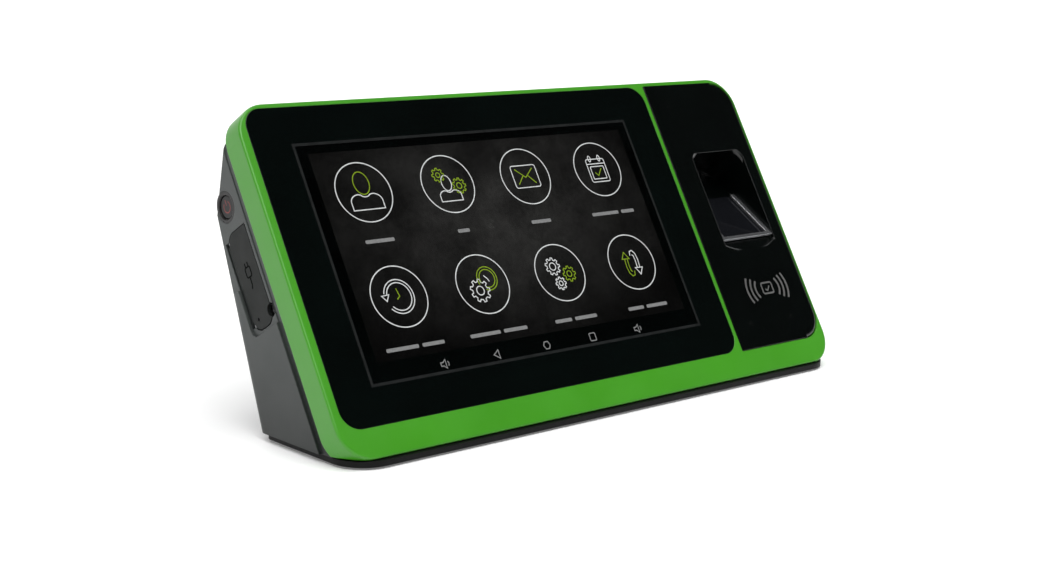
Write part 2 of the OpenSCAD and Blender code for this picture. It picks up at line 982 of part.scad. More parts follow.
module micro_usb_socket() {
    color("silver")
        on_side()
            difference() {
                box([door_x1 + 0.5, 10.8, -22.6], [side_board_x, 18.6, -19.2]);
                difference() {
                    box([door_x1, 11.3, -22.1], [side_board_x - 3, 18.1, -19.7]);
                    box([door_x1 + 1.4, 12.4, -21.2], [side_board_x, 17, -20.6]);
                }
            }
}

// Along the door's hinge, centred on it, for something of length l
module on_hinge(l)
    on_side()
        translate([hinge_x, door_y - l / 2, hinge_z])
            rotate([-90, 0, 0])
                children();

module usb_door() {
    color([0.12, 0.12, 0.13])
        difference() {
            union() {
                into_side(recess_x, door_x1)
                    door_outline(0);
                on_hinge(knuckle_l)
                    cylinder(r = knuckle_r, h = knuckle_l);
                on_side()
                    box([hinge_x - 0.4, door_y - 11, hinge_z], [hinge_x + 0.4, door_y + 11, door_z0 + 1]);
            }
            on_hinge(2 * door_l)
                cylinder(r = pin_r + 0.05, h = 2 * door_l);
            on_side() {
                // Finger notch
                translate([recess_x - 1, notch_y, notch_z])
                    rotate([0, 90, 0])
                        cylinder(r = 2.1, h = 10);
                // Dimple
                translate([recess_x - 1, door_y - door_l / 2 + 3.6, door_z0 + 3.4])
                    rotate([0, 90, 0])
                        cylinder(r = 0.6, h = 1.5, $fn = 24);
            }
        }
}

module door_pin() {
    color("silver")
        on_hinge(groove_l + 2.6)
            cylinder(r = pin_r, h = groove_l + 2.6);
}

// Stations along the button's axis, inwards from the recess
module on_button(x)
    on_side()
        translate([x, button_y, button_z])
            rotate([0, 90, 0])
                children();

module power_button() {
    color([0.1, 0.1, 0.1]) {
        on_button(recess_x + 0.6)
            cylinder(r = button_d / 2, h = 2);
        on_button(recess_x + 2.6)
            cylinder(r = 4.7, h = 0.9);
        on_button(recess_x + 3.5)
            cylinder(r = 1.5, h = switch_x - 1 - recess_x - 3.5);
    }
}

module button_ring() {
    color([0.2, 0.2, 0.2])
        on_button(recess_x + 0.05)
            difference() {
                cylinder(r = ring_r - 0.02, h = 2.2);
                translate([0, 0, -1])
                    cylinder(r = button_d / 2 + 0.3, h = 5);
                translate([0, 0, -6.2])
                    sphere(7.6);
            }
}

module power_switch() {
    color("black")
        on_side()
            difference() {
                box([switch_x, button_y - 3, button_z - 1], [side_board_x, button_y + 3, button_z + 5]);
                translate([switch_x - 1, button_y, button_z])
                    rotate([0, 90, 0])
                        cylinder(r = 1.75, h = 3.4);
            }
}

module switch_plunger() {
    color("sienna")
        on_button(switch_x - 1)
            cylinder(r = 1.4, h = 1.9);
}

front_frame();
touch_glass();
glass_gasket();
display_cell();
display_backlight();
display_bracket();
display_screws();
module_cover();
module_screws();
sensor_window();
sensor_bezel();
sensor_prism();
sensor_housing();
sensor_board();
card_antenna();
rear_housing();
rear_screws();
base_plate();
base_screws();
rubber_feet();
main_board();
board_screws();
processor_shield();
clock_battery();
port_board();
ethernet_jack();
power_jack();
side_board();
usb_socket();
micro_usb_socket();
usb_door();
door_pin();
power_button();
button_ring();
power_switch();
switch_plunger();
battery_pack();
speaker();
speaker_mesh();
wifi_antenna();
display_cable();
sensor_cable();
battery_cable();
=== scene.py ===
"""Looks of the desktop fingerprint terminal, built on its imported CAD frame.

Face coordinates are millimetres from the display's centre: x right, y up the face, z out of it.
"""
import json
import math

import bmesh
import bpy
from mathutils import Matrix, Vector


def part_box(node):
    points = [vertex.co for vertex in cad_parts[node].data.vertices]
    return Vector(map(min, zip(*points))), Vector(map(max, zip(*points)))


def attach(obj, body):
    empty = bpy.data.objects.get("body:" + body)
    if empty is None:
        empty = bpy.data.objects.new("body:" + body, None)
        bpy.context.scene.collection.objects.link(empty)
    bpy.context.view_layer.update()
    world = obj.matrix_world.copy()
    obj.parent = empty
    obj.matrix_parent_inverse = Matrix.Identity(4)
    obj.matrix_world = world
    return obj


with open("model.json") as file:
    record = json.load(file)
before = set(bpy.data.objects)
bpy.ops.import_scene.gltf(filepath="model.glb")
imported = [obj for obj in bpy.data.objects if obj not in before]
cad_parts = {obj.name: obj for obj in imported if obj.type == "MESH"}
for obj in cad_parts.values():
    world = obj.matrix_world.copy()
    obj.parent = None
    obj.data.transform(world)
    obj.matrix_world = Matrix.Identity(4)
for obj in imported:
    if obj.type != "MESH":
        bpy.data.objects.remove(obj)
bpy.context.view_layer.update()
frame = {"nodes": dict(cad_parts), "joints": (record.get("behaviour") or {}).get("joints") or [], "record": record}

MM = 0.001
TURN = 2 * math.pi

# ---- the face's frame, from the door's hinge axis and the cover glass ----

hinge = next(j for j in frame["joints"] if j["name"] == "door_hinge")
RIGHT = Vector((1, 0, 0))
UP = -Vector(hinge["axis"]).normalized()
OUT = RIGHT.cross(UP)
GLASS_ABOVE_CENTRE = 0.35 * MM
GLASS_SUNK = 0.1 * MM


def face_origin():
    """The display's centre on the face plane, from the box of the tilted glass."""
    lo, hi = map(Vector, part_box("touch_glass"))
    size = hi - lo
    thick = (size.y * UP.z - size.z * UP.y) / (UP.z ** 2 - UP.y ** 2)
    return (lo + hi) / 2 + OUT * (thick / 2 + GLASS_SUNK) - UP * GLASS_ABOVE_CENTRE


FACE = face_origin()


def on_face(x, y, z=0.0):
    return FACE + (RIGHT * x + UP * y + OUT * z) * MM


# ---- materials ----

NOISE_SPAN = (0.3, 0.7)  # where most of a noise's values lie
BEVEL_SAMPLES = 6
COAT_ROUGH = 0.08
SMOOTHEST = 0.02
FLOOR_SHADE_TOP = 0.045  # the height in metres where the painted shade near the floor has faded out


def node_tree(name):
    material = bpy.data.materials.new(name)
    material.use_nodes = True
    tree = material.node_tree
    shader = tree.nodes["Principled BSDF"]
    return material, tree, shader


def noise(tree, scale, detail=3.0, roughness=0.5, stretch=None):
    """Noise in object space; scale is in bumps per metre."""
    place = tree.nodes.new("ShaderNodeTexCoord")
    out = tree.nodes.new("ShaderNodeTexNoise")
    out.inputs["Scale"].default_value = scale
    out.inputs["Detail"].default_value = detail
    out.inputs["Roughness"].default_value = roughness
    source = place.outputs["Object"]
    if stretch:
        mapping = tree.nodes.new("ShaderNodeMapping")
        mapping.inputs["Scale"].default_value = stretch
        tree.links.new(source, mapping.inputs["Vector"])
        source = mapping.outputs["Vector"]
    tree.links.new(source, out.inputs["Vector"])
    return out.outputs["Fac"]


def ramp(tree, source, low, high, a, b):
    """Maps a noise value between low and high to a number between a and b."""
    node = tree.nodes.new("ShaderNodeMapRange")
    node.inputs["From Min"].default_value = low
    node.inputs["From Max"].default_value = high
    node.inputs["To Min"].default_value = a
    node.inputs["To Max"].default_value = b
    tree.links.new(source, node.inputs["Value"])
    return node.outputs["Result"]


def mixed(tree, factor, a, b):
    """A mix of two colours, each a tuple or an output."""
    node = tree.nodes.new("ShaderNodeMix")
    node.data_type = "RGBA"
    for socket, value in (("A", a), ("B", b)):
        slot = next(s for s in node.inputs if s.name == socket and s.type == "RGBA")
        if isinstance(value, tuple):
            slot.default_value = (*value, 1)
        else:
            tree.links.new(value, slot)
    tree.links.new(factor, node.inputs["Factor"])
    return next(s for s in node.outputs if s.type == "RGBA")


def relief(tree, shader, heights, edge):
    """Bumps laid over softened edges; heights are (value, depth in mm)."""
    normal = None
    if edge:
        bevel = tree.nodes.new("ShaderNodeBevel")
        bevel.samples = BEVEL_SAMPLES
        bevel.inputs["Radius"].default_value = edge * MM
        normal = bevel.outputs["Normal"]
    for value, depth in heights:
        bump = tree.nodes.new("ShaderNodeBump")
        bump.inputs["Strength"].default_value = 1.0
        bump.inputs["Distance"].default_value = depth * MM
        tree.links.new(value, bump.inputs["Height"])
        if normal:
            tree.links.new(normal, bump.inputs["Normal"])
        normal = bump.outputs["Normal"]
    tree.links.new(normal, shader.inputs["Normal"])


def moulded(name, colour, rough, tint=0.12, grain=9000, grain_depth=0.004, wave=40,
            wave_depth=0.0, edge=0.25, coat=0.0, metallic=0.0, specular=0.5, stretch=None,
            rough_spread=0.06, floor_shade=None):
    """Plastic or metal with fine grain, faint smears and a slight colour drift.

    tint is the drift's share of the colour, grain and wave are in bumps per metre, the depths
    and the softened edge are in mm, and the last argument is the colour of the painted shade that it darkens to
    towards the floor.
    """
    material, tree, shader = node_tree(name)
    dark = tuple(c * (1 - tint) for c in colour)
    light = tuple(min(1, c * (1 + tint)) for c in colour)
    drift = noise(tree, wave, 4)
    tone = mixed(tree, ramp(tree, drift, *NOISE_SPAN, 0, 1), dark, light)
    # painted shade: the colour darkens towards the floor, fading out at a set height
    if floor_shade:
        place = tree.nodes.new("ShaderNodeTexCoord")
        split = tree.nodes.new("ShaderNodeSeparateXYZ")
        tree.links.new(place.outputs["Object"], split.inputs["Vector"])
        tone = mixed(tree, ramp(tree, split.outputs["Z"], 0.0, FLOOR_SHADE_TOP, 0, 1), floor_shade, tone)
    tree.links.new(tone, shader.inputs["Base Color"])
    smear = noise(tree, wave * 4, 5, 0.6, stretch)
    smooth = max(SMOOTHEST, rough - rough_spread)
    tree.links.new(ramp(tree, smear, *NOISE_SPAN, smooth, rough + rough_spread),
                   shader.inputs["Roughness"])
    heights = [(noise(tree, grain, 2, 0.5, stretch), grain_depth)]
    if wave_depth:
        heights.insert(0, (drift, wave_depth))
    relief(tree, shader, heights, edge)
    shader.inputs["Metallic"].default_value = metallic
    shader.inputs["Specular IOR Level"].default_value = specular
    shader.inputs["Coat Weight"].default_value = coat
    shader.inputs["Coat Roughness"].default_value = COAT_ROUGH
    return material


def glowing(name, colour, strength, mottle=0.2, scale=600, rough=0.12):
    """Something lit from behind the cover glass."""
    material, tree, shader = node_tree(name)
    dark = tuple(c * (1 - mottle) for c in colour)
    tone = mixed(tree, ramp(tree, noise(tree, scale, 4), 0.35, 0.65, 0, 1), dark, colour)
    tree.links.new(tone, shader.inputs["Base Color"])
    tree.links.new(tone, shader.inputs["Emission Color"])
    shader.inputs["Emission Strength"].default_value = strength
    shader.inputs["Roughness"].default_value = rough
    return material


SMOKE_DARK, SMOKE_LIGHT = (0.0065, 0.0065, 0.0062), (0.021, 0.021, 0.020)
SMOKE_MIDDLE = (0.5, 0.56)  # the lightest place, as shares of the wallpaper
SMOKE_REACH = (0.08, 0.62)
SMOKE_EDGE = 0.12
SCREEN_ROUGH = 0.12


def display_material():
    """Dark wallpaper: soft smoke, lighter in the middle, fading towards the edges."""
    material, tree, shader = node_tree("wallpaper")
    smoke = ramp(tree, noise(tree, 55, 6, 0.62), 0.35, 0.75, 0, 1)
    grain = ramp(tree, noise(tree, 700, 3), *NOISE_SPAN, 0.75, 1.1)
    place = tree.nodes.new("ShaderNodeTexCoord")
    mapping = tree.nodes.new("ShaderNodeMapping")
    mapping.inputs["Location"].default_value = (-SMOKE_MIDDLE[0], -SMOKE_MIDDLE[1], 0)
    mapping.inputs["Scale"].default_value = (1.0, 0.9, 0)
    length = tree.nodes.new("ShaderNodeVectorMath")
    length.operation = "LENGTH"
    tree.links.new(place.outputs["UV"], mapping.inputs["Vector"])
    tree.links.new(mapping.outputs["Vector"], length.inputs[0])
    fade = ramp(tree, length.outputs["Value"], *SMOKE_REACH, 1.0, SMOKE_EDGE)
    tone = tree.nodes.new("ShaderNodeMath")
    tone.operation = "MULTIPLY"
    tree.links.new(fade, tone.inputs[0])
    tree.links.new(grain, tone.inputs[1])
    colour = mixed(tree, smoke, SMOKE_DARK, SMOKE_LIGHT)
    shade = tree.nodes.new("ShaderNodeVectorMath")
    shade.operation = "SCALE"
    tree.links.new(colour, shade.inputs[0])
    tree.links.new(tone.outputs["Value"], shade.inputs["Scale"])
    tree.links.new(shade.outputs["Vector"], shader.inputs["Base Color"])
    tree.links.new(shade.outputs["Vector"], shader.inputs["Emission Color"])
    shader.inputs["Emission Strength"].default_value = 0.55
    shader.inputs["Roughness"].default_value = SCREEN_ROUGH
    return material


MATERIALS = {
    "green_paint": moulded("green", (0.052, 0.298, 0.0125), 0.36, tint=0.05, coat=0.15,
                           edge=0.5, grain_depth=0.0015, wave=25),
    "cover_glass": moulded("cover_glass", (0.0009, 0.0021, 0.0018), 0.07, tint=0.2, edge=0.3,
                           grain_depth=0.0002, rough_spread=0.02),
    "black_gloss": moulded("black_gloss", (0.0011, 0.0019, 0.0017), 0.12, tint=0.2, coat=0.15,
                           edge=0.5, grain_depth=0.0006, rough_spread=0.03),
    # the housing gets painted shade: it darkens towards the floor
    "housing": moulded("housing", (0.058, 0.065, 0.063), 0.42, tint=0.06, grain=6500,
                       grain_depth=0.012, edge=0.5, wave=18, specular=0.4,
                       floor_shade=(0.014, 0.017, 0.016)),
    "base": moulded("base_metal", (0.003, 0.003, 0.0033), 0.45, tint=0.15, grain=5000,
                    grain_depth=0.006, edge=0.3, specular=0.15),
    "feet": moulded("rubber_feet", (0.018, 0.018, 0.018), 0.75, grain=4000, grain_depth=0.02,
                    edge=0.3),
    "door": moulded("door_plastic", (0.011, 0.013, 0.012), 0.5, grain=6000, grain_depth=0.014,
                    edge=0.3, specular=0.2),
    "button": moulded("button_plastic", (0.012, 0.0115, 0.0118), 0.3, grain_depth=0.003, edge=0.3,
                      specular=0.25),
    "ring": moulded("ring_plastic", (0.016, 0.015, 0.015), 0.32, grain_depth=0.004, edge=0.3,
                    specular=0.3),
    "sensor_glass": moulded("sensor_glass", (0.006, 0.0065, 0.008), 0.06, edge=0.2,
                            grain_depth=0.0003, rough_spread=0.02, specular=0.25),
    "bezel": moulded("bezel_metal", (0.55, 0.56, 0.58), 0.2, metallic=0.9, edge=0.3,
                     grain_depth=0.001, rough_spread=0.02),
    "screw": moulded("screw_steel", (0.42, 0.42, 0.43), 0.32, metallic=1, grain_depth=0.004,
                     edge=0.15),
    "chassis": moulded("chassis_steel", (0.5, 0.5, 0.51), 0.38, metallic=1, grain_depth=0.004,
                       stretch=(1, 20, 20)),
    "shield": moulded("shield_metal", (0.6, 0.6, 0.6), 0.35, metallic=1, grain_depth=0.003),
    "socket": moulded("socket_metal", (0.55, 0.55, 0.56), 0.3, metallic=1, grain_depth=0.002,
                      edge=0.15),
    "cell": moulded("cell_steel", (0.6, 0.6, 0.6), 0.25, metallic=1, grain_depth=0.002),
    "backlight": moulded("backlight_metal", (0.7, 0.7, 0.71), 0.4, metallic=1, grain_depth=0.003),
    "board": moulded("circuit_board", (0.012, 0.075, 0.03), 0.4, tint=0.3, grain=900,
                     grain_depth=0.02, wave=300),
    "black_plastic": moulded("black_plastic", (0.014, 0.014, 0.015), 0.5, grain_depth=0.01),
    "gasket": moulded("gasket_foam", (0.02, 0.02, 0.02), 0.8, grain=3000, grain_depth=0.02),
    "lcd": moulded("panel_glass", (0.02, 0.021, 0.022), 0.2),
    "prism": moulded("prism_glass", (0.7, 0.75, 0.77), 0.05, grain_depth=0.0002),
    "battery": moulded("battery_film", (0.04, 0.08, 0.17), 0.35, grain_depth=0.004, wave=90,
                       wave_depth=0.05),
    "speaker": moulded("speaker_plastic", (0.03, 0.03, 0.03), 0.5),
    "mesh": moulded("speaker_cloth", (0.02, 0.02, 0.02), 0.8, grain=2500, grain_depth=0.06),
    "antenna": moulded("antenna_film", (0.5, 0.3, 0.08), 0.35, grain_depth=0.004),
    "flat_cable": moulded("flat_cable", (0.42, 0.2, 0.05), 0.35, grain_depth=0.004,
                          stretch=(30, 1, 1)),
    "wire": moulded("wire_red", (0.35, 0.015, 0.012), 0.45),
}
for entry in frame["record"]["subparts"]:
    part = frame["nodes"][entry["node"]]
    part.data.materials.clear()
    part.data.materials.append(MATERIALS[entry["material_slot"]])

WHITE = glowing("icon_white", (0.40, 0.41, 0.41), 0.75)
ACCENT = glowing("icon_green", (0.12, 0.18, 0.010), 0.9)
LABEL = glowing("label_grey", (0.15, 0.152, 0.152), 0.7, mottle=0.3, scale=2500)
BORDER = glowing("screen_border", (0.012, 0.013, 0.013), 0.5, mottle=0.3, scale=250)
MARGIN = glowing("screen_margin", (0.0025, 0.0026, 0.0028), 0.2)
PRINT = moulded("grey_print", (0.12, 0.12, 0.118), 0.4, tint=0.2, edge=0, grain_depth=0.002)
MARK = moulded("door_mark", (0.004, 0.0045, 0.0042), 0.8, tint=0.1, edge=0, grain_depth=0.002,
               specular=0.05)
# a lighter metallic grey on the pocket's lower lip, standing in for its highlight: painted highlight
LIP_HIGHLIGHT = moulded("lip_painted_highlight", (0.10, 0.105, 0.105), 0.25, tint=0.1, metallic=0.7, edge=0,
              grain_depth=0.0005)
GLYPH = glowing("power_red", (0.16, 0.012, 0.010), 0.3, rough=0.4)


# ---- mesh helpers ----

TOOTH_ROOT, TOOTH_TIP = 0.30, 0.17  # half widths of a gear's tooth, as shares of its pitch


def piece(name, bm, material, body="terminal"):
    bmesh.ops.recalc_face_normals(bm, faces=bm.faces)
    mesh = bpy.data.meshes.new(name)
    bm.to_mesh(mesh)
    bm.free()
    mesh.materials.append(material)
    obj = bpy.data.objects.new(name, mesh)
    bpy.context.scene.collection.objects.link(obj)
    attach(obj, body)
    return obj


def plate(bm, outline, z0, z1, place=on_face):
    """A flat slab with the given outline, from z0 up to z1."""
    low = [bm.verts.new(place(x, y, z0)) for x, y in outline]
    high = [bm.verts.new(place(x, y, z1)) for x, y in outline]
    count = len(outline)
    bm.faces.new(high)
    bm.faces.new(low[::-1])
    for i in range(count):
        j = (i + 1) % count
        bm.faces.new((low[i], low[j], high[j], high[i]))


def stroke(bm, points, width, z0, z1, closed=False, place=on_face):
    """A flat line of even width through the points, from z0 up to z1."""
    count = len(points)
    flat = [Vector(p) for p in points]
    rails = []
    for i, here in enumerate(flat):
        before = flat[i - 1] if closed or i else here
        after = flat[(i + 1) % count] if closed or i < count - 1 else here
        a = (here - before).normalized() if before != here else (after - here).normalized()
        b = (after - here).normalized() if after != here else a
        across = Vector((-(a + b).y, (a + b).x)).normalized()
        reach = width / 2 / max(0.5, across.dot(Vector((-a.y, a.x))))
        left, right = here + across * reach, here - across * reach
        rails.append([bm.verts.new(place(p.x, p.y, z)) for p, z in
                      ((left, z0), (left, z1), (right, z1), (right, z0))])
    for i in range(count if closed else count - 1):
        one, two = rails[i], rails[(i + 1) % count]
        for k in range(4):
            bm.faces.new((one[k], one[(k + 1) % 4], two[(k + 1) % 4], two[k]))
    if not closed:
        bm.faces.new(rails[0])
        bm.faces.new(rails[-1][::-1])


def arc(cx, cy, r, start=0.0, end=360.0, steps=48, ry=None):
    """Points of an arc in degrees; a full turn leaves its last point out."""
    full = abs(end - start) >= 360
    last = steps if full else steps + 1
    tall = ry or r
    angles = [math.radians(start + (end - start) * i / steps) for i in range(last)]
    return [(cx + r * math.cos(a), cy + tall * math.sin(a)) for a in angles]


def rectangle(x0, y0, x1, y1):
    return [(x0, y0), (x1, y0), (x1, y1), (x0, y1)]


def rounded(x0, y0, x1, y1, r, steps=6):
    """Outline of a rectangle with round corners."""
    corners = ((x1 - r, y1 - r, 0), (x0 + r, y1 - r, 90),
               (x0 + r, y0 + r, 180), (x1 - r, y0 + r, 270))
    return [p for cx, cy, a in corners for p in arc(cx, cy, r, a, a + 90, steps)]


def gear(cx, cy, r, teeth, depth=0.22):
    """Outline of a gear: square teeth with sloping flanks."""
    points = []
    for i in range(teeth):
        for share, level in ((-TOOTH_ROOT, 1 - depth), (-TOOTH_TIP, 1),
                             (TOOTH_TIP, 1), (TOOTH_ROOT, 1 - depth)):
            a = TURN * (i + share) / teeth
            points.append((cx + r * level * math.cos(a), cy + r * level * math.sin(a)))
    return points


# ---- display ----

SCREEN_W, SCREEN_H = 154.2, 85.5
LAYER = 0.02
WALL_Z = (-0.10, -0.08)
LINE_Z = (-0.09, -0.05)
BORDER_WIDTH = 1.0
WALL_SIDE, WALL_BELOW, WALL_ABOVE = 5, 7.5, 4  # margins around the wallpaper


def screen_layers():
    """The lit area: its margin, a thin border and the wallpaper, each a little further out."""
    bm = bmesh.new()
    half_w, half_h = SCREEN_W / 2, SCREEN_H / 2
    plate(bm, rectangle(-half_w, -half_h, half_w, half_h), WALL_Z[0] - LAYER, WALL_Z[1] - LAYER)
    piece("screen_margin", bm, MARGIN)
    bm = bmesh.new()
    inset = BORDER_WIDTH / 2
    stroke(bm, rectangle(-half_w + inset, -half_h + inset, half_w - inset, half_h - inset),
           BORDER_WIDTH, WALL_Z[0] - LAYER, WALL_Z[1] + LAYER / 2, closed=True)
    piece("screen_border", bm, BORDER)
    bm = bmesh.new()
    x0, x1 = -half_w + WALL_SIDE, half_w - WALL_SIDE
    y0, y1 = -half_h + WALL_BELOW, half_h - WALL_ABOVE
    plate(bm, rectangle(x0, y0, x1, y1), *WALL_Z)
    wallpaper = piece("screen_wallpaper", bm, display_material())
    layer = wallpaper.data.uv_layers.new(name="flat")
    wide, high = (x1 - x0) * MM, (y1 - y0) * MM
    for loop in wallpaper.data.loops:
        local = wallpaper.data.vertices[loop.vertex_index].co - on_face(x0, y0)
        layer.data[loop.index].uv = (local.dot(RIGHT) / wide, local.dot(UP) / high)


COLUMNS, COLUMN_PITCH, MIDDLE_X = 4, 36.3, -0.33
ICON_X = [MIDDLE_X + COLUMN_PITCH * (i - (COLUMNS - 1) / 2) for i in range(COLUMNS)]
ICON_Y = (23.48, -14.22)
RING_R, RING_RY = 11.3, 10.8
THIN, MEDIUM = 0.36, 0.38
LETTER = 1.36  # a letter's width in the labels
WORD_TRIM = 0.2
LABEL_LOW, LABEL_HIGH = 18.3, 17.0  # below an icon's centre


def shoulders(cx, top, s, tall):
    """Bust outline below a head; s is its half width."""
    left = arc(cx - s * 0.45, top - tall * 0.5, s * 0.55, 180, 90, 8, tall * 0.5)
    neck = arc(cx, top + s * 0.02, s * 0.3, 200, 340, 8, tall * 0.2)
    right = [(2 * cx - x, y) for x, y in left[::-1]]
    return [(cx - s, top - tall)] + left + neck + right + [(cx + s, top - tall)]


def icon_person(white, accent, cx, cy):
    accent(arc(cx, cy + 3.3, 3.2, ry=4.1))
    white(shoulders(cx + 0.1, cy - 0.7, 6.5, 5.6))


def icon_team(white, accent, cx, cy):
    accent(gear(cx - 3.1, cy + 3.6, 2.6, 8))
    accent(arc(cx - 3.1, cy + 3.6, 0.9, steps=16))
    accent(gear(cx + 4.7, cy - 1.0, 2.9, 9))
    accent(arc(cx + 4.7, cy - 1.0, 1.1, steps=16))
    white(arc(cx - 0.6, cy + 0.4, 2.1, ry=2.9))
    white(shoulders(cx - 0.3, cy - 2.4, 4.7, 4.0))


def icon_letter(white, accent, cx, cy):
    white(rounded(cx - 5.9, cy - 4.3, cx + 5.9, cy + 4.3, 0.9))
    accent([(cx - 4.2, cy + 3), (cx, cy - 0.4), (cx + 4.2, cy + 3)], False)
    for side in (-1, 1):
        accent([(cx + side * 4.2, cy - 2.9), (cx + side * 1.1, cy + 0.3)], False)


def icon_calendar(white, accent, cx, cy):
    white(rounded(cx - 4.6, cy - 5, cx + 4.6, cy + 4.2, 0.8))
    white(rounded(cx - 3.3, cy - 3.8, cx + 3.3, cy + 1.2, 0.3, 3))
    white([(cx - 4.4, cy + 2.3), (cx + 4.4, cy + 2.3)], False)
    for side in (-1, 1):
        white(arc(cx + side * 2.4, cy + 4.4, 0.6, steps=14, ry=1.2))
    accent([(cx - 1.7, cy - 1.2), (cx - 0.5, cy - 2.5), (cx + 1.9, cy + 0.3)], False)


def icon_history(white, accent, cx, cy):
    for r in (6.0, 4.9):
        white(arc(cx, cy, r, -140, 165), False)
    white([(cx - 7.0, cy + 0.9), (cx - 5.4, cy - 1.1), (cx - 4.0, cy + 1.1)])
    accent([(cx - 0.4, cy + 2.9), (cx + 0.2, cy + 0.1), (cx - 1.1, cy - 0.9)], False)


def icon_timing(white, accent, cx, cy):
    for r in (4.3, 3.3):
        accent(arc(cx + 2.6, cy + 1.8, r, -115, 205), False)
    white([(cx + 1.5, cy + 3.0), (cx + 2.6, cy + 1.8), (cx + 3.2, cy + 0.6)], False)
    white(gear(cx - 2.0, cy - 2.2, 4.2, 9))
    white(arc(cx - 2.0, cy - 2.2, 1.6, steps=24))


def icon_gears(white, accent, cx, cy):
    for draw, x, y, r, hole, teeth in ((white, -2.5, 2.6, 3.3, 1.4, 9),
                                       (accent, 4.1, -0.9, 2.9, 1.1, 8),
                                       (white, -1.3, -4.0, 2.4, 0.9, 8)):
        draw(gear(cx + x, cy + y, r, teeth))
        draw(arc(cx + x, cy + y, hole, steps=20))


def icon_update(white, accent, cx, cy):
    for draw, s in ((white, 1), (accent, -1)):
        y = cy - 0.5
        draw([(cx + s * 0.2, y + s * 3.0), (cx + s * 0.6, y + s * 4.6), (cx + s * 1.9, y + s * 4.9),
              (cx + s * 3.0, y + s * 3.6), (cx + s * 3.4, y + s * 1.2),
              (cx + s * 3.1, y - s * 1.9)], False)
        draw([(cx + s * 1.2, y + s * 3.2), (cx + s * 1.8, y + s * 2.8), (cx + s * 2.0, y + s * 1.0),
              (cx + s * 1.8, y - s * 1.9)], False)
        draw([(cx + s * 0.7, y - s * 1.9), (cx + s * 2.5, y - s * 4.6),
              (cx + s * 4.3, y - s * 2.0)])


ICONS = (icon_person, icon_team, icon_letter, icon_calendar,
         icon_history, icon_timing, icon_gears, icon_update)
LABEL_WORDS = ((9,), (4,), (7,), (10, 5), (10, 7), (10, 8), (6, 8), (6, 8))  # letters a word
NAV_Y = -39.5
NAV_SPEAKERS = (-45.7, 44.9)


def screen_icons():
    """Eight ringed icons with their labels, and the row of navigation marks below them."""
    lines, accents, labels, nav = (bmesh.new() for _ in range(4))

    def pen(bm, width=THIN):
        return lambda points, closed=True: stroke(bm, points, width, *LINE_Z, closed=closed)

    white, accent = pen(lines), pen(accents)
    for k, draw in enumerate(ICONS):
        cx, cy = ICON_X[k % COLUMNS], ICON_Y[k // COLUMNS]
        pen(lines, MEDIUM)(arc(cx, cy, RING_R, steps=96, ry=RING_RY))
        draw(white, accent, cx, cy)
        letters = sum(LABEL_WORDS[k]) + len(LABEL_WORDS[k]) - 1
        x = cx - letters * LETTER / 2
        # each label is a row of plain bars, one a word
        for word in LABEL_WORDS[k]:
            x1 = x + word * LETTER - WORD_TRIM
            plate(labels, rounded(x, cy - LABEL_LOW, x1, cy - LABEL_HIGH, 0.45, 4), *LINE_Z)
            x += (word + 1) * LETTER
    y = NAV_Y
    mark = pen(nav)
    for x in NAV_SPEAKERS:
        mark([(x - 1.6, y - 0.6), (x - 0.6, y - 0.6), (x + 0.5, y - 1.5), (x + 0.5, y + 1.5),
              (x - 0.6, y + 0.6), (x - 1.6, y + 0.6)])
        mark(arc(x + 0.6, y, 1.1, -45, 45, 8), False)
    mark([(-21.9, y - 1.5), (-21.9, y + 1.5), (-24.2, y)])
    mark(arc(0.06, y, 1.5, steps=6))
    mark(rounded(20.8, y - 1.4, 23.6, y + 1.4, 0.4, 4))
    piece("icon_lines", lines, WHITE)
    piece("icon_accents", accents, ACCENT)
    piece("icon_labels", labels, LABEL)
    piece("navigation_marks", nav, LABEL)


screen_layers()
screen_icons()


# ---- finger module: contactless mark and the pocket's lower lip, with a painted highlight ----

MODULE_Z = 0.2
CARD_MARK_AT = (120.4, -32.9)
CARD_MARK_Z = (MODULE_Z - 0.01, MODULE_Z + 0.015)
WAVES = ((5.2, 41), (7.6, 36), (10.0, 31))  # radius, and half the spread in degrees
WAVE_SHIFT = 1.6
LIP_CENTRE, LIP_R, LIP_SPREAD = (121, 14), 30.85, 30.5  # spread in degrees either way
LIP_THICK, LIP_LEVEL, LIP_TAPER = 0.24, -0.1, 0.85
LIP_STEPS, LIP_AROUND = 40, 10


def card_mark():
    """A card with a tick, and three waves on either side."""
    bm = bmesh.new()
    cx, cy = CARD_MARK_AT
    z = CARD_MARK_Z
    stroke(bm, rounded(cx - 3.0, cy - 2.2, cx + 3.0, cy + 2.2, 0.8), 0.7, *z, closed=True)
    stroke(bm, [(cx - 1.3, cy - 0.4), (cx - 0.3, cy - 1.1), (cx + 1.4, cy + 0.8)], 0.6, *z)
    for side, shift in ((0, WAVE_SHIFT), (180, -WAVE_SHIFT)):
        for r, spread in WAVES:
            stroke(bm, arc(cx + shift, cy, r, side - spread, side + spread, 18), 0.95, *z)
    piece("contactless_mark", bm, PRINT)


